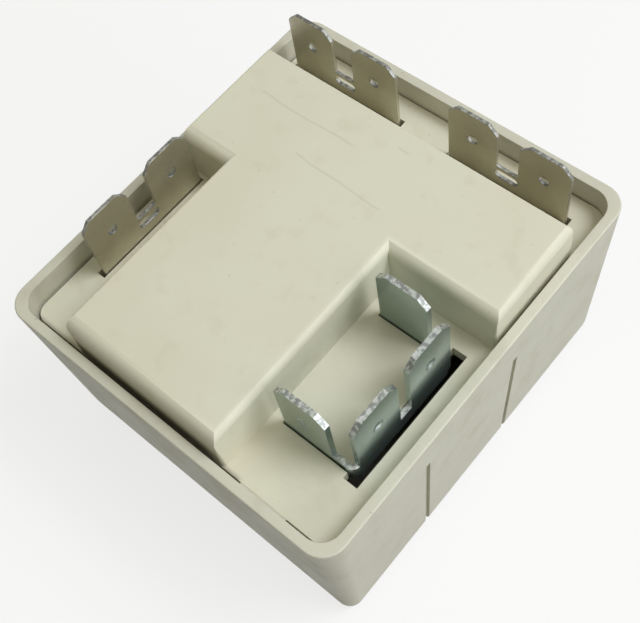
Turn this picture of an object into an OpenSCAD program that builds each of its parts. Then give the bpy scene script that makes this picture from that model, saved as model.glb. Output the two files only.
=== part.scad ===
// Compressor start relay with push-on terminals.
// A moulded case holds a coil, core and hinged armature; a moulded terminal cover closes it.
// Millimetres. +Z points out of the terminal side, the back of the case lies on z = 0.

/* [Case] */
// Width of the case across its rim, along X
case_w = 45.4; // [45:0.2:47]
// Length of the case across its rim, along Y
case_l = 49.8; // [49.6:0.2:51]
// Height of the case from its back to its rim
case_h = 27; // [27:0.5:29]
// Thickness of the rim
rim_t = 1.2; // [1:0.1:1.3]
// Thickness of the back wall
back_t = 1.6; // [1.4:0.1:1.6]
// Radius of the case's upright corners
case_corner_r = 2.8; // [2.4:0.2:4]
// Radius of the edge round the back
back_edge_r = 2; // [1:0.2:2.4]
// How far each side leans in from rim to back, along X
lean_x = 0.9; // [0.4:0.1:1]
// How far each side leans in from rim to back, along Y
lean_y = 1.4; // [0.4:0.1:1.5]
// Width of the ledge that carries the cover
ledge_w = 0.9; // [0.8:0.1:1]

/* [Cover] */
// Depth of the cover's floor below the rim
floor_drop = 3; // [2.8:0.1:3.2]
// Thickness of the cover's floor
floor_t = 1.6; // [1.4:0.1:1.8]
// Height of the raised block above the rim
block_rise = 3.5; // [3:0.1:4]
// Wall thickness of the raised block
block_wall = 1.5; // [1.3:0.1:1.6]
// Gap between the cover and the rim
cover_gap = 0.35; // [0.3:0.05:0.45]
// Radius of the block's upper edges towards -Y
front_edge_r = 1.5; // [1:0.1:1.5]
// Radius of the block's upper edges towards +X
right_edge_r = 1; // [0.6:0.1:1.5]
// Radius of the block's other upper edges
far_edge_r = 0.35; // [0.2:0.05:0.8]
// Radius of the block's upright corners
block_corner_r = 0.7; // [0.5:0.1:1.2]

/* [Terminals] */
// Width of one push-on tab
tab_w = 6.35; // [6.3:0.05:6.4]
// Thickness of the row and side terminals' sheet
row_t = 0.45; // [0.4:0.05:0.5]
// Thickness of the four-tab terminal's sheet
quad_t = 0.65; // [0.6:0.05:0.7]
// Height of the tab tips above the rim
tab_rise = 6.2; // [6:0.1:6.6]
// Gap between the two tabs of a pair
pair_gap = 2.8; // [2.6:0.1:3]
// Gap between the two side tabs of the four-tab terminal
quad_gap = 1.7; // [1.5:0.1:1.8]
// Chamfer at the tip corners of a tab
tip_chamfer = 1.2; // [0.8:0.1:1.5]
// Radius of the hole in a tab
tab_hole_r = 0.65; // [0.55:0.05:0.85]

/* [Coil and magnet] */
// Radius of the core
core_r = 3.5; // [3.4:0.1:3.6]
// Radius of the pole face
pole_r = 4.6; // [4.4:0.1:4.8]
// Gap between the resting armature and the pole
pole_gap = 1; // [0.9:0.05:1.1]
// Radius of the armature's hinge pin
pin_r = 0.8; // [0.75:0.05:0.85]
// Radial clearance of the armature on its pin
pin_play = 0.06; // [0.03:0.01:0.08]

/* [Hidden] */

$fn = 48;
eps = 0.01;

// Heights worked out from the rim
floor_z = case_h - floor_drop;
under_z = floor_z - floor_t;
block_z = case_h + block_rise;
tip_z = case_h + tab_rise;

// The cover's outline
cover_w = case_w - 2 * rim_t - 2 * cover_gap;
cover_l = case_l - 2 * rim_t - 2 * cover_gap;
cover_corner_r = case_corner_r - rim_t;
cover_shift = 0.2;
wall_lean = 0.2;

// Terminal rows: width, foot and standing places
pair_w = 2 * tab_w + pair_gap;
sheet_foot_z = under_z - 0.4;
bridge_z = case_h + 0.6;
slot_z = case_h - 1;
slot_l = 1.8;
slot_h = 1.2;
row_y = case_l / 2 - 4.96;
row_left_x = -0.4438 * case_w;
row_right_x = 0.3974 * case_w - pair_w;
side_x = -case_w / 2 + 4.47 - row_t;
side_y = -case_l / 2 + 10.05;
hole_z = tip_z - 3.9;
leg_z = case_h - 12;
contact_z = case_h - 8;

// The four-tab terminal: a U with its open side towards the stem
quad_depth = 9;
quad_x1 = case_w / 2 - 4.5;
quad_x0 = quad_x1 - quad_depth;
quad_y0 = -case_l / 2 + 9.1;
quad_side_y0 = quad_y0 + 1;
quad_y1 = quad_side_y0 + 2 * tab_w + quad_gap - 0.15 + quad_t;
quad_strip_z = floor_z + 0.15;
bend_in = 0.4;
bend_out = bend_in + quad_t;

// The raised block: a stem towards -Y and a bar across the +Y end
stem_x0 = side_x + row_t + 4.73;
stem_x1 = quad_x0 - 1.8;
stem_y0 = cover_shift - cover_l / 2 + wall_lean;
bar_x0 = row_left_x - 0.15;
bar_x1 = cover_w / 2 - wall_lean;
bar_y1 = row_y - 3.64;
bar_y0 = quad_y1 + 3.3;
bar_left_y0 = bar_y0 - 1.8;

// The coil and its magnet frame, along Y
coil_x = -3;
yoke_t = 1.6;
yoke_top_z = back_t + yoke_t;
flange_w = under_z - yoke_top_z - 3.2;
coil_z = yoke_top_z + flange_w / 2 + 0.3;
yoke_y0 = -case_l / 2 + 5.4;
yoke_w = 12.8;
upright_y1 = yoke_y0 + yoke_t;
upright_h = flange_w;
pole_t = 1.2;
flange_t = 1.1;
tube_r = core_r + 1.1;
winding_r = flange_w / 2 - 0.7;
tail_r = 2.5;
ring_r = 1.9;
ring_t = 0.6;
ring_rise = 2;
ring_depth = 0.8;
coil_pin_w = 0.8;
coil_pin_reach = 5;

// The armature swings about a pin near the end of the yoke
armature_t = 1.4;
leaf_y = row_y - 2.74;
armature_y0 = leaf_y - 8;
pole_y = armature_y0 - pole_gap;
former_y1 = pole_y - pole_t;
armature_w = yoke_w - 2.8;
armature_top_z = contact_z + 0.8;
pin_y = armature_y0 + armature_t / 2;
pin_z = yoke_top_z + 2;
knuckle_r = 1.6;
ear_t = 1.2;
ear_l = 3.6;
ear_h = pin_z + 1.8 - yoke_top_z;
tail_z = pin_z + 3.4;
tail_t = 1.2;
spring_y = leaf_y - 4;
yoke_y1 = spring_y + 2.3;
spring_r = 1.3;
spring_wire_r = 0.2;

// The contacts: a leaf between the pusher and the fixed contact
leaf_t = 0.3;
leaf_w = 4;
leaf_root_y = row_y - leaf_t;
contact_x = row_left_x + 10.15;
leaf_tip_x = contact_x - 2;
leaf_root_x = row_right_x + 5.26;
leaf_rivet_x = leaf_root_x - 1.8;
crank_x = leaf_root_x - 3.5;
rivet_r = 0.7;
contact_r = 1.5;
contact_gap = 0.1;
fixed_head = 1;
fixed_face_y = row_y - fixed_head;
lead_r = 0.45;

// Posts on the case that hold the magnet frame
post_r = 1.25;
post_y = -8;
post_reach = 8.9;

// A rectangle with rounded corners, centred
module rounded_rect(w, l, r) {
    square([w - 2 * r, l], center = true);
    square([w, l - 2 * r], center = true);
    for (sx = [-1, 1], sy = [-1, 1])
        translate([sx * (w / 2 - r), sy * (l / 2 - r)]) circle(r);
}

// One thin level of the case, set in by the lean at that height and by more if wanted
module case_level(z, inset, r) {
    share = (case_h - z) / case_h;
    translate([0, 0, z])
        linear_extrude(eps)
            rounded_rect(case_w - 2 * inset - 2 * lean_x * share,
                case_l - 2 * inset - 2 * lean_y * share, r);
}

// The case's outer form, with the edge round the back
module case_block() {
    hull() {
        case_level(case_h - eps, 0, case_corner_r);
        for (a = [0:18:90])
            case_level(back_edge_r * (1 - cos(a)), back_edge_r * (1 - sin(a)), case_corner_r);
    }
}

// Case: one deep moulding with a ledge, two side grooves and two posts staked over the frame
module outer_case() {
    color("antiquewhite") {
        difference() {
            case_block();
            translate([0, 0, under_z])
                linear_extrude(case_h)
                    rounded_rect(case_w - 2 * rim_t, case_l - 2 * rim_t, case_corner_r - rim_t);
            hull() {
                case_level(under_z + eps, rim_t + ledge_w, 1);
                case_level(back_t, rim_t + ledge_w, 1);
            }
            for (y = [-9.8, 4.9])
                translate([case_w / 2, y, case_h])
                    rotate([0, atan(lean_x / case_h), 0])
                        translate([-0.35, -0.35, -case_h - 2])
                            cube([2, 0.7, case_h + 2 - 5.6]);
        }
        for (side = [-1, 1])
            translate([coil_x + side * post_reach, post_y, 0]) {
                translate([0, 0, back_t - eps]) cylinder(r = post_r, h = yoke_t + 2 * eps);
                translate([0, 0, yoke_top_z]) cylinder(r1 = 1.9, r2 = 1.3, h = 0.8);
            }
    }
}

// Section through the block, from a0 to a1, with its walls leaning in and its upper edges round
module block_section(a0, a1, r0, r1) {
    polygon([[a0 - wall_lean, floor_z - 1], [a1 + wall_lean, floor_z - 1], [a1, block_z - r1],
        [a1 - r1, block_z], [a0 + r0, block_z], [a0, block_z - r0]]);
    translate([a0 + r0, block_z - r0]) circle(r0);
    translate([a1 - r1, block_z - r1]) circle(r1);
}

// A block with soft upper edges, standing on the cover's floor
module soft_block(x0, x1, y0, y1) {
    intersection() {
        translate([0, y1 + 1, 0])
            rotate([90, 0, 0])
                linear_extrude(y1 - y0 + 2) block_section(x0, x1, far_edge_r, right_edge_r);
        translate([x0 - 1, 0, 0])
            rotate([90, 0, 90])
                linear_extrude(x1 - x0 + 2) block_section(y0, y1, front_edge_r, far_edge_r);
        translate([(x0 + x1) / 2, (y0 + y1) / 2, floor_z - 1])
            linear_extrude(block_z)
                rounded_rect(x1 - x0 + 2 * wall_lean, y1 - y0 + 2 * wall_lean, block_corner_r);
    }
}

// A box from its low and high corners
module span_box(low, high) {
    translate(low) cube(high - low);
}

// Cover: floor with a hollow T-shaped block and slots for the terminals
module terminal_cover() {
    hollow_z = block_z - block_wall;
    color("ivory")
        difference() {
            union() {
                translate([0, cover_shift, under_z])
                    linear_extrude(floor_t)
                        rounded_rect(cover_w, cover_l, cover_corner_r);
                soft_block(stem_x0, stem_x1, stem_y0, bar_y1 - 4);
                soft_block(bar_x0, bar_x1, bar_y0, bar_y1);
                soft_block(bar_x0, stem_x0 + 6, bar_left_y0, bar_y1);
            }
            span_box([stem_x0 + block_wall, stem_y0 + block_wall, under_z - 1],
                [stem_x1 - block_wall, bar_y1 - block_wall, hollow_z]);
            span_box([bar_x0 + block_wall, bar_y0 + block_wall, under_z - 1],
                [bar_x1 - block_wall, bar_y1 - block_wall, hollow_z]);
            span_box([row_left_x - 0.3, row_y - 0.12, under_z - 1],
                [row_left_x + pair_w + 0.3, row_y + row_t + 0.45, case_h]);
            span_box([row_right_x - 0.3, row_y - 0.12, under_z - 1],
                [row_right_x + pair_w + 0.3, row_y + row_t + 0.45, case_h]);
            span_box([side_x - 0.5, side_y - 0.4, under_z - 1],
                [side_x + row_t + 0.12, side_y + pair_w + 0.3, case_h]);
            span_box([quad_x1 - quad_t - 0.12, quad_y0 - 0.8, under_z - 1],
                [quad_x1 + 1, quad_y1 + 0.95, floor_z + 1]);
            for (y = [quad_y0, quad_y1 - quad_t])
                span_box([quad_x0 - 0.25, y - 0.12, under_z - 1],
                    [quad_x1, y + quad_t + 0.12, floor_z + 1]);
        }
}

// Outline of one tab, standing on its foot, with chamfered tip corners
module tab_outline(foot_z) {
    polygon([[0, foot_z], [tab_w, foot_z], [tab_w, tip_z - tip_chamfer], [tab_w - tip_chamfer, tip_z],
        [tip_chamfer, tip_z], [0, tip_z - tip_chamfer]]);
}

// A pair of tabs on one strip, lying in the XZ plane from x = 0, with its inner leg
module pair_sheet(leg_x0, leg_x1, leg_hole_x) {
    rotate([90, 0, 0])
        translate([0, 0, -row_t])
            linear_extrude(row_t)
                difference() {
                    union() {
                        tab_outline(sheet_foot_z);
                        translate([tab_w + pair_gap, 0]) tab_outline(sheet_foot_z);
                        translate([0, sheet_foot_z]) square([pair_w, bridge_z - sheet_foot_z]);
                        translate([leg_x0, leg_z]) square([leg_x1 - leg_x0, under_z - leg_z]);
                    }
                    for (x = [tab_w / 2, tab_w * 1.5 + pair_gap])
                        translate([x, hole_z]) circle(tab_hole_r);
                    translate([pair_w / 2 - slot_l / 2, slot_z - slot_h / 2]) square([slot_l, slot_h]);
                    for (side = [-1, 1])
                        translate([pair_w / 2 + side * slot_l / 2, slot_z]) circle(slot_h / 2);
                    translate([leg_hole_x, contact_z]) circle(rivet_r);
                }
}

// Terminal of the fixed contact
module row_terminal_left() {
    color("darkgray")
        translate([row_left_x, row_y, 0])
            pair_sheet(6, 14, contact_x - row_left_x);
}

// Terminal that carries the contact leaf
module row_terminal_right() {
    color("darkgray")
        translate([row_right_x, row_y, 0])
            pair_sheet(0.4, 7.4, leaf_rivet_x - row_right_x);
}

// Terminal of the coil's outer end
module side_terminal() {
    color("darkgray")
        translate([side_x, side_y, 0])
            rotate([0, 0, 90])
                translate([0, -row_t, 0])
                    pair_sheet(5, 11, pair_w / 2);
}

// One single tab of the four-tab terminal with its strip, lying in the XZ plane from x = 0
module quad_end_sheet() {
    rotate([90, 0, 0])
        translate([0, 0, -quad_t])
            linear_extrude(quad_t) {
                tab_outline(sheet_foot_z);
                translate([0, sheet_foot_z])
                    square([quad_x1 - quad_x0 - bend_out, quad_strip_z + 0.8 - sheet_foot_z]);
            }
}

// A detent dimple pressed into a sheet's face
module dimple() {
    sphere(r = 1.1);
}

// Four-tab tie terminal: one strip folded to a U
module quad_terminal() {
    dimple_z = tip_z - 4.3;
    sink = 0.8;
    color("silver")
        difference() {
            union() {
                translate([quad_x0, quad_y0, 0]) quad_end_sheet();
                translate([quad_x0, quad_y1 - quad_t, 0]) quad_end_sheet();
                translate([quad_x1 - quad_t, 0, 0]) {
                    translate([0, quad_y0 + bend_out, sheet_foot_z])
                        cube([quad_t, quad_y1 - quad_y0 - 2 * bend_out, quad_strip_z - sheet_foot_z]);
                    for (y = [quad_side_y0, quad_side_y0 + tab_w + quad_gap])
                        translate([quad_t, y, 0])
                            rotate([90, 0, 90])
                                translate([0, 0, -quad_t])
                                    linear_extrude(quad_t) tab_outline(sheet_foot_z + 1);
                }
                for (side = [0, 1])
                    translate([quad_x1 - bend_out, side == 0 ? quad_y0 + bend_out : quad_y1 - bend_out,
                        sheet_foot_z])
                        rotate([0, 0, side == 0 ? -90 : 0])
                            rotate_extrude(angle = 90)
                                translate([bend_in, 0])
                                    square([quad_t, quad_strip_z + 0.5 - sheet_foot_z]);
            }
            translate([quad_x0 + tab_w / 2, quad_y0 - sink, dimple_z]) dimple();
            for (y = [quad_side_y0 + tab_w / 2, quad_side_y0 + tab_w * 1.5 + quad_gap])
                translate([quad_x1 + sink, y, dimple_z]) dimple();
        }
}

// Magnet frame: a strip bent to an L, with ears for the hinge pin and for the case's posts
module yoke() {
    left_x = coil_x - yoke_w / 2;
    color("slategray")
        difference() {
            union() {
                translate([left_x, yoke_y0, back_t]) cube([yoke_w, yoke_y1 - yoke_y0, yoke_t]);
                translate([left_x + 0.4, yoke_y0, back_t]) cube([yoke_w - 0.8, yoke_t, upright_h]);
                for (x = [left_x, left_x + yoke_w - ear_t])
                    translate([x, pin_y - ear_l / 2, yoke_top_z]) cube([ear_t, ear_l, ear_h]);
                translate([coil_x - post_reach - 2, post_y - 2, back_t])
                    cube([2 * post_reach + 4, 4, yoke_t]);
            }
            translate([coil_x, yoke_y0 - 1, coil_z]) rotate([-90, 0, 0]) cylinder(r = tail_r, h = yoke_t + 2);
            translate([left_x - 1, pin_y, pin_z]) rotate([0, 90, 0]) cylinder(r = pin_r, h = yoke_w + 2);
            for (side = [-1, 1])
                translate([coil_x + side * post_reach, post_y, 0]) cylinder(r = post_r + 0.05, h = 10);
        }
}

// Core: a turned steel plug with a wide pole face, riveted into the yoke
module core() {
    color("lightslategray")
        difference() {
            translate([coil_x, 0, coil_z])
                rotate([-90, 0, 0])
                    rotate_extrude()
                        polygon([[0, yoke_y0 - 0.7], [3.4, yoke_y0 - 0.7], [3.4, yoke_y0], [tail_r, yoke_y0],
                            [tail_r, upright_y1], [core_r, upright_y1], [core_r, former_y1],
                            [pole_r, former_y1], [pole_r, pole_y], [0, pole_y]]);
            translate([coil_x, pole_y - ring_depth, coil_z + ring_rise])
                rotate([-90, 0, 0])
                    difference() {
                        cylinder(r = ring_r, h = ring_depth + 1);
                        translate([0, 0, -1]) cylinder(r = ring_r - ring_t, h = ring_depth + 3);
                    }
        }
}

// Copper shading ring, pressed into a groove in the pole face
module shading_ring() {
    color("chocolate")
        translate([coil_x, pole_y - ring_depth, coil_z + ring_rise])
            rotate([-90, 0, 0])
                difference() {
                    cylinder(r = ring_r, h = ring_depth);
                    translate([0, 0, -1]) cylinder(r = ring_r - ring_t, h = ring_depth + 2);
                }
}

// Moulded coil former: a tube with two square flanges
module coil_former() {
    color("whitesmoke")
        difference() {
            union() {
                for (y = [upright_y1, former_y1 - flange_t])
                    translate([coil_x - flange_w / 2, y, coil_z - flange_w / 2])
                        cube([flange_w, flange_t, flange_w]);
                translate([coil_x, upright_y1, coil_z])
                    rotate([-90, 0, 0]) cylinder(r = tube_r, h = former_y1 - upright_y1);
            }
            translate([coil_x, upright_y1 - 1, coil_z])
                rotate([-90, 0, 0]) cylinder(r = core_r + 0.1, h = former_y1 - upright_y1 + 2);
            coil_pin_pair();
        }
}

// The two square pins in the rear flange
module coil_pin_pair() {
    for (side = [-1, 1])
        translate([coil_x + side * coil_pin_reach - coil_pin_w / 2, upright_y1 + 0.15,
            coil_z + flange_w / 2 - 1.5])
            cube([coil_pin_w, coil_pin_w, 3.3]);
}

// Wire posts of the coil
module coil_pins() {
    color("gold") coil_pin_pair();
}

// A ring along the coil's axis, from the radius inner to the radius outer
module coil_ring(inner, outer) {
    y0 = upright_y1 + flange_t;
    y1 = former_y1 - flange_t;
    translate([coil_x, y0, coil_z])
        rotate([-90, 0, 0])
            difference() {
                cylinder(r = outer, h = y1 - y0);
                translate([0, 0, -1]) cylinder(r = inner, h = y1 - y0 + 2);
            }
}

// Enamelled wire, wound on the former
module winding() {
    color("peru") coil_ring(tube_r, winding_r);
}

// Tape round the winding
module coil_tape() {
    color("khaki") coil_ring(winding_r, winding_r + 0.2);
}

// Steel pin of the armature's hinge, held in the yoke's ears
module hinge_pin() {
    color("silver")
        translate([coil_x - yoke_w / 2 - 0.6, pin_y, pin_z])
            rotate([0, 90, 0]) cylinder(r = pin_r, h = yoke_w + 1.2);
}

// Hinged armature: a plate with a rolled knuckle and a tail for the spring
module armature() {
    left_x = coil_x - armature_w / 2;
    color("lightsteelblue")
        difference() {
            union() {
                translate([left_x, armature_y0, pin_z + 1])
                    cube([armature_w, armature_t, armature_top_z - pin_z - 1]);
                translate([left_x, pin_y, pin_z]) rotate([0, 90, 0]) cylinder(r = knuckle_r, h = armature_w);
                translate([coil_x - 1.6, armature_y0 + armature_t - eps, tail_z])
                    cube([3.2, spring_y + 1.6 - armature_y0 - armature_t, tail_t]);
            }
            translate([left_x - 1, pin_y, pin_z])
                rotate([0, 90, 0]) cylinder(r = pin_r + pin_play, h = armature_w + 2);
            rivet_holes();
        }
}

// Places of the two rivets that hold the pusher
module rivet_places() {
    for (x = [-2.6, 2.6])
        translate([coil_x + x, armature_y0, contact_z - 1])
            rotate([-90, 0, 0]) children();
}

// Holes for the pusher's rivets
module rivet_holes() {
    rivet_places() translate([0, 0, -1]) cylinder(r = 0.6, h = 6);
}

// Moulded pusher: a pad on the armature with a nose that presses the contact leaf
module pusher() {
    pad_y = armature_y0 + armature_t;
    color("sienna")
        difference() {
            union() {
                translate([coil_x - 4, pad_y, contact_z - 2.2]) cube([8, 2, 4]);
                translate([coil_x - 0.9, pad_y + 1.9, contact_z - 1])
                    cube([1.8, leaf_y - contact_gap - pad_y - 1.9, 2]);
            }
            rivet_holes();
        }
}

// Rivets of the pusher, with a head on each side
module pusher_rivets() {
    color("goldenrod")
        rivet_places() {
            translate([0, 0, -0.3]) cylinder(r = 1, h = 0.3);
            cylinder(r = 0.6, h = armature_t + 2);
            translate([0, 0, armature_t + 2]) cylinder(r = 1, h = 0.3);
        }
}

// Unit vector
function unit(v) = v / norm(v);

// Direction of a route at one of its points
function heading(p, i) = unit(p[min(i + 1, len(p) - 1)] - p[max(i - 1, 0)]);

// A round wire swept along points; no stretch of it may be upright
module swept_wire(p, r, sides) {
    last = len(p) - 1;
    rings = [for (i = [0:last])
        let (t = heading(p, i), u = unit(cross(t, [0, 0, 1])), v = cross(u, t))
        for (k = [0:sides - 1]) p[i] + r * (cos(360 * k / sides) * u + sin(360 * k / sides) * v)];
    faces = concat([[for (k = [0:sides - 1]) k]],
        [for (i = [0:last - 1], k = [0:sides - 1])
            let (a = i * sides + k, b = i * sides + (k + 1) % sides) [a, a + sides, b + sides, b]],
        [[for (k = [sides - 1:-1:0]) last * sides + k]]);
    polyhedron(rings, faces);
}

// Tension spring between the yoke and the armature's tail
module return_spring() {
    turns = 7;
    steps = 14;
    z0 = yoke_top_z + spring_wire_r;
    z1 = tail_z - spring_wire_r;
    color("dimgray")
        swept_wire([for (i = [0:turns * steps])
            let (a = 360 * i / steps)
            [coil_x + spring_r * cos(a), spring_y + spring_r * sin(a),
                z0 + (z1 - z0) * i / (turns * steps)]], spring_wire_r, 8);
}

// Spring bronze leaf: its root lies on the right-hand terminal and its tip carries a contact
module contact_leaf() {
    color("darkgoldenrod")
        difference() {
            translate([0, 0, contact_z - leaf_w / 2])
                linear_extrude(leaf_w)
                    polygon([[leaf_root_x, row_y], [crank_x - 0.2, row_y], [crank_x - 3.2, leaf_y + leaf_t],
                        [leaf_tip_x, leaf_y + leaf_t], [leaf_tip_x, leaf_y], [crank_x - 3, leaf_y],
                        [crank_x, leaf_root_y], [leaf_root_x, leaf_root_y]]);
            translate([contact_x, leaf_y - 1, contact_z]) rotate([-90, 0, 0]) cylinder(r = rivet_r, h = 2);
            translate([leaf_rivet_x, leaf_root_y - 1, contact_z])
                rotate([-90, 0, 0]) cylinder(r = rivet_r + 0.15, h = 2);
        }
}

// Contact button riveted through the leaf
module moving_contact() {
    head_y = leaf_y + leaf_t;
    color("gainsboro")
        translate([contact_x, 0, contact_z])
            rotate([-90, 0, 0]) {
                translate([0, 0, leaf_y - 0.4]) cylinder(r = 1.1, h = 0.4);
                translate([0, 0, leaf_y]) cylinder(r = rivet_r, h = leaf_t);
                translate([0, 0, head_y]) cylinder(r = contact_r, h = fixed_face_y - contact_gap - head_y);
            }
}

// Contact button riveted through the left-hand terminal's leg
module fixed_contact() {
    color("gainsboro")
        translate([contact_x, 0, contact_z])
            rotate([-90, 0, 0]) {
                translate([0, 0, fixed_face_y]) cylinder(r = contact_r + 0.1, h = fixed_head);
                translate([0, 0, row_y]) cylinder(r = rivet_r, h = row_t);
                translate([0, 0, row_y + row_t]) cylinder(r = 1.1, h = 0.4);
            }
}

// Rivet that holds the leaf's root, with a little play under its head
module leaf_rivet() {
    head_y = leaf_root_y - 0.2;
    color("goldenrod")
        translate([leaf_rivet_x, 0, contact_z])
            rotate([-90, 0, 0]) {
                translate([0, 0, head_y - 0.4]) cylinder(r = 1.2, h = 0.4);
                translate([0, 0, head_y]) cylinder(r = rivet_r, h = row_y + row_t - head_y);
                translate([0, 0, row_y + row_t]) cylinder(r = 1.1, h = 0.4);
            }
}

// A point on a smooth route through hand-placed points
function curve_point(p, i, t) =
    let (a = p[max(i - 1, 0)], b = p[i], c = p[i + 1], d = p[min(i + 2, len(p) - 1)])
    0.5 * (2 * b + (c - a) * t + (2 * a - 5 * b + 4 * c - d) * pow(t, 2)
        + (3 * b - a - 3 * c + d) * pow(t, 3));

// The whole route, with the given steps between two hand-placed points
function smooth_route(p, steps) =
    concat([for (i = [0:len(p) - 2], k = [0:steps - 1]) curve_point(p, i, k / steps)], [p[len(p) - 1]]);

// Hand-placed points of the two coil leads, from a coil pin to a terminal's leg
pin_out = coil_pin_reach + 0.4;
side_route = [[coil_x - pin_out, upright_y1 + 0.6, under_z - 1.8], [(coil_x + side_x - 2.4) / 2, side_y - 0.6, under_z - 2],
    [side_x + 2.7, side_y + 3.9, contact_z], [side_x + row_t + 0.03, side_y + 7.9, leg_z + 2.4]];
row_route = [[coil_x + pin_out, upright_y1 + 0.6, under_z - 1.8],
    [row_right_x + 5.5, upright_y1 + 3.9, under_z - 2.8], [row_right_x + 9, upright_y1 + 12.9, under_z - 3.8],
    [row_right_x + 9, row_y - 11.9, leg_z + 2], [row_right_x + 6.5, row_y - 3.9, leg_z + 0.8],
    [row_right_x + 4, row_y - 0.04, leg_z + 0.6]];

// Insulated lead from the coil to the side terminal
module side_lead() {
    color("firebrick") swept_wire(smooth_route(side_route, 4), lead_r, 8);
}

// Insulated lead from the coil to the leaf's terminal
module row_lead() {
    color("firebrick") swept_wire(smooth_route(row_route, 4), lead_r, 8);
}

outer_case();
terminal_cover();
row_terminal_left();
row_terminal_right();
side_terminal();
quad_terminal();
yoke();
core();
shading_ring();
coil_former();
winding();
coil_tape();
coil_pins();
hinge_pin();
armature();
pusher();
pusher_rivets();
return_spring();
contact_leaf();
moving_contact();
fixed_contact();
leaf_rivet();
side_lead();
row_lead();
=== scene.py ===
from math import copysign, pi, radians

import bmesh
import bpy
from mathutils import Matrix, Vector


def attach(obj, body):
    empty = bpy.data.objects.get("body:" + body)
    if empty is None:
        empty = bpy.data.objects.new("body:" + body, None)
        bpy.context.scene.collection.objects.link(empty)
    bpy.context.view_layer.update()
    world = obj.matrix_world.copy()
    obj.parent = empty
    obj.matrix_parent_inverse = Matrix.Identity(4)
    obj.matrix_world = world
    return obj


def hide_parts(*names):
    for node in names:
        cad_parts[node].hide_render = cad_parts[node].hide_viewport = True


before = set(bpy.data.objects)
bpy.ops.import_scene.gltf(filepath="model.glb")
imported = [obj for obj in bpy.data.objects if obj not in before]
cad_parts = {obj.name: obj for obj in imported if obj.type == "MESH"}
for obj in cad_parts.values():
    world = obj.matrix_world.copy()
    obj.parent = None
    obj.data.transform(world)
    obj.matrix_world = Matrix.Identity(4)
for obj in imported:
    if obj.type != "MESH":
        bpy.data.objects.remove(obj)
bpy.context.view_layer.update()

# Camera
# It looks down from above the front right corner of the relay, a hand's breadth away, and leans to its left.
# Its place, turn and focal length were fitted to the edges of the rim, the tabs and the tab holes.
MM = 0.001
scene = bpy.context.scene
camera_lens = bpy.data.cameras.new("view_camera")
camera_lens.sensor_width = 36
camera_lens.lens = 58.686
camera_lens.clip_start = 0.005
camera = bpy.data.objects.new("view_camera", camera_lens)
camera_place = Vector((45.574, -36.135, 120.736)) * MM
camera_right = Vector((0.756929, 0.643601, -0.113302))
camera_up = Vector((-0.532140, 0.707666, 0.464797))
camera_back = Vector((0.379324, -0.291525, 0.878138))
camera_turn = Matrix((camera_right, camera_up, camera_back)).transposed()
camera.matrix_world = Matrix.Translation(camera_place) @ camera_turn.to_4x4()
scene.collection.objects.link(camera)
scene.camera = camera


# Floor and light
# The relay lies on a plain pale sweep that keeps its soft shadow. A large lamp hangs high at the back right,
# a wide one stands low at the right, a faint one hangs over the middle, and a weak warm sky fills the rest.
class Wire:
    # One value in a material's nodes, which takes plain arithmetic. Other nodes come from its node method.
    def __init__(self, tree, socket=None):
        self.tree, self.socket = tree, socket

    def node(self, kind, settings=(), inputs=(), out=0):
        made = self.tree.nodes.new(kind)
        for key, value in dict(settings).items():
            setattr(made, key, value)
        for key, value in dict(inputs).items():
            if isinstance(value, Wire):
                self.tree.links.new(value.socket, made.inputs[key])
            else:
                made.inputs[key].default_value = value
        return Wire(self.tree, made.outputs[out])

    def sum(self, operation, *values):
        return self.node("ShaderNodeMath", {"operation": operation}, dict(enumerate(values)))

    def __add__(self, other):
        return self.sum("ADD", self, other)

    def __radd__(self, other):
        return self.sum("ADD", other, self)

    def __sub__(self, other):
        return self.sum("SUBTRACT", self, other)

    def __rsub__(self, other):
        return self.sum("SUBTRACT", other, self)

    def __mul__(self, other):
        return self.sum("MULTIPLY", self, other)

    def __rmul__(self, other):
        return self.sum("MULTIPLY", other, self)

    def clamped(self):
        return self.node("ShaderNodeMath", {"operation": "ADD", "use_clamp": True}, {0: self, 1: 0.0})

    def between(self, low, high, from_value=0.0, to_value=1.0):
        return self.node("ShaderNodeMapRange", {"interpolation_type": "SMOOTHSTEP"},
            {"Value": self, "From Min": low, "From Max": high, "To Min": from_value, "To Max": to_value})

    def tint(self, first, second):
        # A Mix node keeps its colours in the sockets 6 and 7 and puts the mixed one out at 2.
        return self.node("ShaderNodeMix", {"data_type": "RGBA"}, {0: self, 6: first, 7: second}, out=2)

    def noise(self, scale, detail=3, roughness=0.55, stretch=(1, 1, 1)):
        place = self.node("ShaderNodeTexCoord", out="Object")
        place = self.node("ShaderNodeMapping", inputs={"Vector": place, "Scale": stretch})
        return self.node("ShaderNodeTexNoise",
            inputs={"Vector": place, "Scale": scale, "Detail": detail, "Roughness": roughness})

    def parts(self, source="Object"):
        spot = self.node("ShaderNodeTexCoord", out=source)
        split = self.node("ShaderNodeSeparateXYZ", inputs={"Vector": spot}).socket.node
        return [Wire(self.tree, socket) for socket in split.outputs]


def finish(name):
    material = bpy.data.materials.new(name)
    material.use_nodes = True
    shader = material.node_tree.nodes["Principled BSDF"]
    return material, shader, Wire(material.node_tree)


def join(shader, **values):
    names = {"colour": "Base Color", "rough": "Roughness", "metal": "Metallic", "normal": "Normal"}
    for key, value in values.items():
        socket = shader.inputs[names[key]]
        if isinstance(value, Wire):
            shader.id_data.links.new(value.socket, socket)
        else:
            socket.default_value = value


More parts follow.
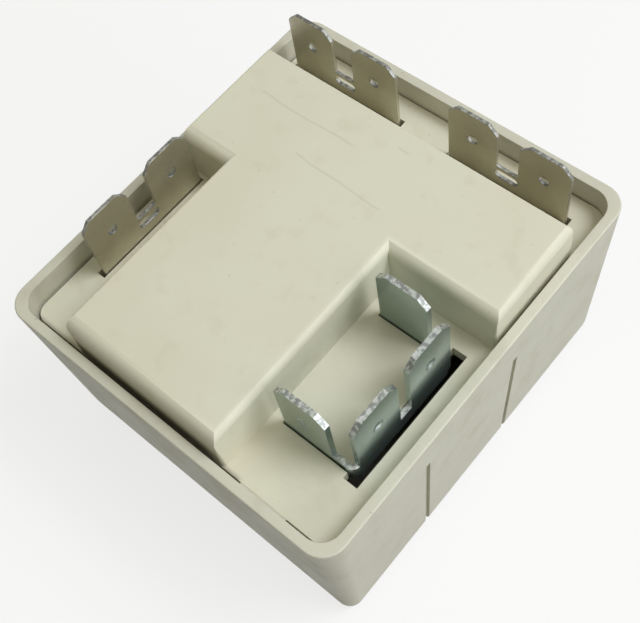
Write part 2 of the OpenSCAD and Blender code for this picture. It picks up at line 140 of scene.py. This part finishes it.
floor_size = 3.0
glow_share = 0.74
white, white_shader, wire = finish("floor_white")
white_shader.inputs["Roughness"].default_value = 0.9
seen = wire.node("ShaderNodeLightPath", out="Is Camera Ray")
mirrored = wire.node("ShaderNodeLightPath", out="Is Glossy Ray")
paint = wire.noise(4, detail=2).between(0.3, 0.7).tint((0.80, 0.80, 0.79, 1), (0.83, 0.83, 0.82, 1))
share = (seen + mirrored).clamped() * glow_share
join(white_shader, colour=seen.tint((0.19, 0.187, 0.18, 1), paint))
glow = wire.node("ShaderNodeEmission", inputs={"Color": (1, 1, 1, 1), "Strength": 1.0})
plain = Wire(white.node_tree, white_shader.outputs[0])
mixed = wire.node("ShaderNodeMixShader", inputs={0: share, 1: plain, 2: glow})
white.node_tree.links.new(mixed.socket, white.node_tree.nodes["Material Output"].inputs["Surface"])
bm = bmesh.new()
bmesh.ops.create_grid(bm, x_segments=1, y_segments=1, size=floor_size)
floor_mesh = bpy.data.meshes.new("floor")
bm.to_mesh(floor_mesh)
bm.free()
floor_mesh.materials.append(white)
floor = bpy.data.objects.new("floor", floor_mesh)
scene.collection.objects.link(floor)

world = bpy.data.worlds.new("studio")
scene.world = world
world.use_nodes = True
sky = world.node_tree.nodes["Background"].inputs
sky["Color"].default_value = (1.0, 0.985, 0.78, 1)
sky["Strength"].default_value = 0.32


def lamp(name, place, size, power, colour):
    light = bpy.data.lights.new(name, "AREA")
    light.shape = "RECTANGLE"
    light.size, light.size_y = size
    light.energy = power
    light.color = colour
    holder = bpy.data.objects.new(name, light)
    holder.location = place
    holder.rotation_euler = (-Vector(place)).to_track_quat("-Z", "Y").to_euler()
    scene.collection.objects.link(holder)


lamp("window", place=(0.27, 0.22, 0.55), size=(0.28, 0.28), power=2.46, colour=(0.90, 0.925, 1.0))
lamp("side", place=(0.58, 0.06, 0.24), size=(0.40, 0.24), power=1.3, colour=(0.96, 0.98, 1.0))
lamp("ceiling", place=(0.0, 0.0, 0.65), size=(0.45, 0.45), power=0.38, colour=(1.0, 0.96, 0.92))
scene.view_settings.view_transform = "Standard"

# Case
# One deep moulding in cream plastic, with a soft edge round its back and two shallow grooves in its right
# side. The cover rests on a ledge inside its rim, and a bead of plastic stands in the gap at the front.
case_w, case_l, case_h = 45.4, 49.8, 27.0
rim_corner_r, bore_corner_r, well_corner_r, inner_corner_r, back_corner_r = 2.8, 2.3, 1.6, 1.4, 1.6
lean_x, lean_y = 0.9, 1.4
rim_t, ledge_w, back_t = 1.2, 0.9, 1.6
ledge_z = 22.4
back_edge_r, rim_outer_r, rim_inner_r = 2.0, 0.2, 0.12
groove_places = -9.8, 4.9
groove_w, groove_depth, groove_top = 0.7, 0.35, case_h - 5.6
bead_size = 6.0, 1.0, 1.5
bead_place = 12.8, rim_t + 0.6 - case_l / 2, 23.2
same_place = 1e-7


def darker(colour, share):
    return (*(share * c for c in colour[:3]), 1)


def bumped(wire, height, strength, distance):
    return wire.node("ShaderNodeBump",
        inputs={"Height": height, "Strength": strength, "Distance": distance * MM})


def moulded(name, colour, shade, dirt_and_shade, marks=None):
    material, shader, wire = finish(name)
    cloud = wire.noise(55, detail=2, roughness=0.5)
    blotch = wire.noise(260, roughness=0.6)
    grit = wire.noise(2400, detail=2, roughness=0.6)
    specks = wire.noise(1900, detail=1, roughness=0.4).between(0.78, 0.82)
    worn = (blotch.between(0.52, 0.75) * 0.35).tint(cloud.between(0.35, 0.65).tint(colour, shade), dirt_and_shade)
    worn = (specks * 0.35).tint(worn, darker(dirt_and_shade, 0.45))
    height = grit * 0.4 + blotch * 1.2
    # The marks tint towards a darker dirt colour. On the cover they are real rib marks and specks, plus
    # painted shade at the block's front end.
    if marks:
        mark = marks(*wire.parts())
        worn = mark.tint(worn, darker(dirt_and_shade, 0.45))
        height = height - mark * 3.0
    join(shader, colour=worn, rough=blotch.between(0.3, 0.7, 0.42, 0.54),
        normal=bumped(wire, height, 0.05, 0.4))
    shader.inputs["Specular IOR Level"].default_value = 0.45
    return material


def solid(name, bm, material, body, slot, *stands_for, smooth=35):
    bmesh.ops.recalc_face_normals(bm, faces=bm.faces[:])
    mesh = bpy.data.meshes.new(name)
    bm.to_mesh(mesh)
    bm.free()
    mesh.materials.append(material)
    for face in mesh.polygons:
        face.use_smooth = True
    mesh.set_sharp_from_angle(angle=radians(smooth))
    piece = bpy.data.objects.new(name, mesh)
    scene.collection.objects.link(piece)
    even = piece.modifiers.new("even_shading", "WEIGHTED_NORMAL")
    even.keep_sharp, even.weight = True, 80
    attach(piece, body)
    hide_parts(*stands_for)


def only(kind, geometry):
    return [g for g in geometry if isinstance(g, kind)]


def round_off(bm, edges, radius, segments):
    bmesh.ops.bevel(bm, geom=edges, offset=radius * MM, affect="EDGES", segments=segments, profile=0.5,
        material=-1)


# An outline is a width, a length and a corner radius. The first one is a face, and each next one is carried
# on from it: to another height, to another size, or both.
def first_outline(bm, outline):
    width, length, radius = outline
    corners = [bm.verts.new((x * width / 2 * MM, y * length / 2 * MM, 0))
        for x, y in ((-1, -1), (1, -1), (1, 1), (-1, 1))]
    bm.faces.new(corners)
    bmesh.ops.bevel(bm, geom=corners, offset=radius * MM, affect="VERTICES", segments=8, profile=0.5,
        material=-1)
    bmesh.ops.recalc_face_normals(bm, faces=bm.faces[:])
    face = max(bm.faces, key=lambda f: f.calc_area())
    if face.normal.z < 0:
        face.normal_flip()
    return face


def carried(bm, face, was, now, z, keep=False):
    made = bmesh.ops.extrude_face_region(bm, geom=[face])["geom"]
    if not keep and face.is_valid:
        bmesh.ops.delete(bm, geom=[face], context="FACES_ONLY")
    for vert in only(bmesh.types.BMVert, made):
        for i in (0, 1):
            past = abs(vert.co[i]) - (was[i] / 2 - was[2]) * MM
            vert.co[i] = copysign((now[i] / 2 - now[2]) * MM + past * now[2] / was[2], vert.co[i])
        vert.co.z = z * MM
    return only(bmesh.types.BMFace, made)[0]


back = case_w - 2 * lean_x, case_l - 2 * lean_y, back_corner_r
rim = case_w, case_l, rim_corner_r
bore = case_w - 2 * rim_t, case_l - 2 * rim_t, bore_corner_r
well = bore[0] - 2 * ledge_w, bore[1] - 2 * ledge_w, well_corner_r
inner_back = 0.965 * well[0], 0.95 * well[1], inner_corner_r
bm = bmesh.new()
outline = back
face = first_outline(bm, outline)
for z, now in ((case_h, rim), (case_h, bore), (ledge_z, bore), (ledge_z, well), (back_t, inner_back)):
    face = carried(bm, face, outline, now, z, keep=now is rim)
    outline = now
bmesh.ops.recalc_face_normals(bm, faces=bm.faces[:])
bm.normal_update()


def level_edges(bm, z):
    return [e for e in bm.edges if all(abs(v.co.z - z * MM) < 1e-6 for v in e.verts)]


def on_outside(edge):
    x, y = (abs(sum(v.co[i] for v in edge.verts) / 2) / MM for i in (0, 1))
    return x > case_w / 2 - 0.4 or y > case_l / 2 - 0.4 or x + y > (case_w + case_l) / 2 - 2.6


def on_groove_side(face):
    return face.normal.x > 0.3 and face.calc_center_median().x > case_w / 3 * MM


round_off(bm, level_edges(bm, 0), back_edge_r, 6)
round_off(bm, [e for e in level_edges(bm, case_h) if on_outside(e)], rim_outer_r, 3)
round_off(bm, [e for e in level_edges(bm, case_h) if e.calc_face_angle(0) > 0.5], rim_inner_r, 2)
for y in groove_places:
    for place, normal in (((0, y - groove_w / 2, 0), (0, 1, 0)), ((0, y + groove_w / 2, 0), (0, 1, 0)),
            ((0, 0, groove_top), (0, 0, 1))):
        side = [f for f in bm.faces if on_groove_side(f)]
        geometry = list({g for f in side for g in [f, *f.edges, *f.verts]})
        bmesh.ops.bisect_plane(bm, geom=geometry, plane_co=Vector(place) * MM, plane_no=normal,
            dist=same_place)
    sunk = [f for f in bm.faces if on_groove_side(f) and f.calc_center_median().z < groove_top * MM
        and abs(f.calc_center_median().y - y * MM) < groove_w / 2 * MM - same_place]
    made = bmesh.ops.extrude_face_region(bm, geom=sunk)["geom"]
    bmesh.ops.translate(bm, verts=only(bmesh.types.BMVert, made), vec=(-groove_depth * MM, 0, 0))
    bmesh.ops.delete(bm, geom=[f for f in sunk if f.is_valid], context="FACES")
bead = bmesh.ops.create_cube(bm, size=MM)["verts"]
bmesh.ops.scale(bm, verts=bead, vec=bead_size)
bmesh.ops.translate(bm, verts=bead, vec=Vector(bead_place) * MM)
cream = moulded("case_cream", (0.62, 0.61, 0.505, 1), (0.59, 0.575, 0.475, 1), (0.48, 0.455, 0.34, 1))
solid("case_moulding", bm, cream, "relay_body", "case_plastic", "outer_case")

# Cover
# A moulded lid in a lighter cream, sunk in the case: a floor with slots for the terminals and a hollow
# T-shaped block that leaves a pocket at the right. Faint marks of the ribs below show on the block's top,
# and painted shade darkens the lower part of its front end face, towards the slit at its foot.
block_top = 30.5
rib_lines = (-17.2, -2.8, 11.05, 0.02), (-8.5, 4.6, 6.85, -0.02), (0.1, 2.6, 13.75, -0.05)
top_specks = (2.36, 4.24), (5.88, -2.7), (-3.5, -8.6)
# How dark the rib marks are, and how strong the painted shade is at the foot of the block's front end.
rib_shade, painted_slit_shade = 0.17, 0.9


def softened(node, width, notch=None):
    bm = bmesh.new()
    bm.from_mesh(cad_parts[node].data)
    bmesh.ops.remove_doubles(bm, verts=bm.verts[:], dist=1e-6)
    bmesh.ops.dissolve_limit(bm, angle_limit=radians(0.5), verts=bm.verts[:], edges=bm.edges[:])
    if notch:
        for vert in bm.verts:
            if abs(vert.co.z - notch[0] * MM) < 1e-5:
                vert.co.z = notch[1] * MM
    if width:
        sharp = [e for e in bm.edges if e.calc_face_angle(0) > radians(30)]
        bmesh.ops.bevel(bm, geom=sharp, offset=width * MM, affect="EDGES", segments=2, profile=0.5,
            material=-1, clamp_overlap=True)
    return bm


def cover_marks_and_slit_shade(x, y, z):
    x, y, z = (side * (1 / MM) for side in (x, y, z))
    wander = (x.noise(160, detail=2) - 0.5) * 0.9
    total = x * 0.0
    for x0, x1, y0, slope in rib_lines:
        off = x.sum("ABSOLUTE", y - y0 - (x - x0) * slope + wander)
        ends = x.between(x0, x0 + 0.8) * x.between(x1 - 1.5, x1, 1.0, 0.0)
        total = total + off.between(0.05, 0.16, 1.0, 0.0) * ends
    for x0, y0 in top_specks:
        off = x.sum("ABSOLUTE", x - x0) + x.sum("ABSOLUTE", y - y0)
        total = total + off.between(0.10, 0.24, 1.0, 0.0)
    on_top = (total * z.between(block_top - 0.3, block_top - 0.1)).clamped() * rib_shade
    # Painted shade: the front end face gets darker towards the bottom, left of x = 9 to 10 mm, where shade
    # falls in the slit.
    slit_shade_zone = y.between(-23.3, -22.6, 1.0, 0.0) * z.between(25.2, 28.6, 1.0, 0.0)
    return on_top + slit_shade_zone * x.between(9.0, 10.0, painted_slit_shade, 0.0)


# The third colour is the dirt. Darkened, it is also the colour of the painted shade at the block's front
# end.
lid_cream = moulded("cover_cream", (0.69, 0.68, 0.545, 1), (0.67, 0.645, 0.51, 1), (0.57, 0.53, 0.40, 1),
    marks=cover_marks_and_slit_shade)
solid("cover_moulding", softened("terminal_cover", 0.15), lid_cream, "relay_body", "cover_plastic",
    "terminal_cover")

# Row terminals and side terminal
# Each is one stamping of thin tinned sheet: two push-on tabs on a strip, with a detent hole in each tab and
# a notch and an oblong slot between them. The strip goes down through the cover to the contacts or the
# coil's wire. The notch is deeper than the solid's, as the photograph shows it.
solid_notch, seen_notch = 27.6, 27.1


def sheet_metal(name, colour, shade, stain, rough=(0.30, 0.46), scratch=0.12, metal=1.0, mottle=0.6,
        cut=None):
    material, shader, wire = finish(name)
    cloud = wire.noise(120, roughness=0.6)
    rolled = wire.noise(1400, roughness=0.65, stretch=(1, 1, 0.08))
    speck = wire.noise(2600, detail=2, roughness=0.6)
    worn = (speck.between(0.56, 0.72) * mottle).tint(cloud.between(0.35, 0.65).tint(colour, shade), stain)
    height = (rolled * 0.7 + speck * 0.5) * scratch
    dull = (cloud + (speck - 0.5) * mottle).between(0.3, 0.7, *rough)
    if cut:
        # The wide faces look along x or y, so what looks another way is a blanked edge, with torn patches.
        x, y, _ = wire.parts("Normal")
        wide = x.sum("MAXIMUM", x.sum("ABSOLUTE", x), x.sum("ABSOLUTE", y))
        blanked = wide.between(0.78, 0.93, 1.0, 0.0)
        torn = wire.noise(2100, detail=2, roughness=0.6)
        worn = blanked.tint(worn, torn.between(0.42, 0.58).tint(cut, darker(cut, 0.5)))
        height = height + blanked * torn * 0.35
        dull = dull + blanked * 0.24
    join(shader, colour=worn, metal=metal, rough=dull, normal=bumped(wire, height, 1.0, 0.15))
    return material


tinned = sheet_metal("tinned_sheet", (0.57, 0.535, 0.41, 1), (0.49, 0.455, 0.34, 1), (0.36, 0.325, 0.23, 1),
    rough=(0.30, 0.42), scratch=0.04, metal=0.8, mottle=0.3, cut=(0.47, 0.475, 0.45, 1))
for name in ("row_terminal_left", "row_terminal_right", "side_terminal"):
    solid(name + "_stamping", softened(name, 0.07, notch=(solid_notch, seen_notch)), tinned, "relay_body",
        "terminal_metal", name)

# Four-tab terminal
# One strip of bright zinc-plated sheet folded to a U, with a tab at each end and two on its long side.
# Three tabs have a pressed dimple that a push-on connector snaps over.
zinc = sheet_metal("zinc_sheet", (0.42, 0.53, 0.51, 1), (0.38, 0.48, 0.46, 1), (0.31, 0.39, 0.38, 1),
    rough=(0.16, 0.24), scratch=0.015, metal=0.85, mottle=0.12, cut=(0.66, 0.70, 0.69, 1))
solid("four_tab_folding", softened("quad_terminal", 0.08), zinc, "relay_body", "zinc_metal",
    "quad_terminal")

# Magnet frame
# The yoke is a bent steel strip staked on two posts of the case. The turned core is riveted into its
# upright, and a copper ring sits in the pole's face. The steel pin of the hinge runs through two ears.
plated = sheet_metal("plated_steel", (0.50, 0.51, 0.52, 1), (0.42, 0.43, 0.45, 1), (0.24, 0.22, 0.20, 1))
for name in ("yoke", "core", "hinge_pin"):
    solid(name + "_steel", softened(name, 0.1), plated, "relay_body", "frame_steel", name)
copper = sheet_metal("plain_copper", (0.80, 0.42, 0.28, 1), (0.66, 0.32, 0.20, 1), (0.30, 0.14, 0.08, 1))
solid("shading_ring_copper", softened("shading_ring", 0.05), copper, "relay_body", "copper", "shading_ring")

# Coil
# A moulded former with square flanges carries enamelled wire under a film tape. Two brass pins in the rear
# flange take the wire's ends and the sleeved leads to the terminals.
turn_w, lap_w = 0.32, 6.0


def waves(wire, width):
    y = wire.parts()[1]
    return y.sum("SINE", y * (2 * pi / (width * MM)))


former = moulded("former_white", (0.76, 0.75, 0.70, 1), (0.70, 0.69, 0.63, 1), (0.58, 0.55, 0.47, 1))
solid("coil_former_moulding", softened("coil_former", 0.12), former, "relay_body", "former_plastic",
    "coil_former")
enamel, shader, wire = finish("enamelled_wire")
cloud = wire.noise(220)
join(shader, colour=cloud.between(0.35, 0.65).tint((0.42, 0.13, 0.04, 1), (0.30, 0.08, 0.03, 1)), metal=0.4,
    rough=cloud.between(0.3, 0.7, 0.22, 0.36), normal=bumped(wire, waves(wire, turn_w), 0.6, 0.1))
solid("winding_wire", softened("winding", 0), enamel, "relay_body", "enamelled_wire", "winding")
film, shader, wire = finish("film_tape")
cloud = wire.noise(300)
laps = waves(wire, lap_w).between(0.93, 0.99)
patches = cloud.between(0.35, 0.65) * 0.7 + laps * 0.3
join(shader, colour=patches.tint((0.72, 0.50, 0.10, 1), (0.58, 0.37, 0.06, 1)),
    rough=cloud.between(0.3, 0.7, 0.2, 0.32), normal=bumped(wire, cloud + laps * 0.5, 0.2, 0.2))
solid("coil_tape_film", softened("coil_tape", 0), film, "relay_body", "tape", "coil_tape")
yellow = sheet_metal("plain_brass", (0.78, 0.60, 0.30, 1), (0.66, 0.48, 0.22, 1), (0.34, 0.24, 0.10, 1))
solid("coil_pins_brass", softened("coil_pins", 0.08), yellow, "relay_body", "brass", "coil_pins")
sleeve = moulded("lead_sleeve", (0.42, 0.05, 0.04, 1), (0.34, 0.03, 0.03, 1), (0.20, 0.03, 0.02, 1))
for name in ("side_lead", "row_lead"):
    solid(name + "_sleeve", softened(name, 0), sleeve, "relay_body", "lead_sleeve", name, smooth=60)

# Armature
# A steel plate with a rolled knuckle on the hinge pin and a tail for the return spring. A brown moulded
# pusher is held on its back by two brass rivets and presses the contact leaf. The spring's coil is the
# CAD node's own.
solid("armature_steel", softened("armature", 0.1), plated, "armature_body", "frame_steel", "armature")
brown = moulded("pusher_brown", (0.16, 0.07, 0.03, 1), (0.12, 0.05, 0.02, 1), (0.07, 0.03, 0.015, 1))
solid("pusher_moulding", softened("pusher", 0.15), brown, "armature_body", "pusher_plastic", "pusher")
solid("pusher_rivets_brass", softened("pusher_rivets", 0.06), yellow, "armature_body", "brass",
    "pusher_rivets")
spring_wire = sheet_metal("spring_wire", (0.36, 0.36, 0.37, 1), (0.28, 0.28, 0.29, 1), (0.14, 0.13, 0.12, 1))
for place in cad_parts["return_spring"].material_slots:
    place.material = spring_wire

# Contacts
# A leaf of spring bronze is riveted to the right-hand row terminal and carries a silver button, which meets
# the button on the left-hand row terminal's leg.
bronze = sheet_metal("spring_bronze", (0.74, 0.46, 0.26, 1), (0.62, 0.36, 0.18, 1), (0.30, 0.16, 0.08, 1))
solid("contact_leaf_bronze", softened("contact_leaf", 0.04), bronze, "leaf_body", "bronze", "contact_leaf")
silver = sheet_metal("silver_alloy", (0.82, 0.81, 0.78, 1), (0.72, 0.71, 0.68, 1), (0.40, 0.37, 0.32, 1))
solid("moving_contact_silver", softened("moving_contact", 0.12), silver, "leaf_body", "silver_contact",
    "moving_contact")
solid("fixed_contact_silver", softened("fixed_contact", 0.12), silver, "relay_body", "silver_contact",
    "fixed_contact")
solid("leaf_rivet_brass", softened("leaf_rivet", 0.1), yellow, "relay_body", "brass", "leaf_rivet")
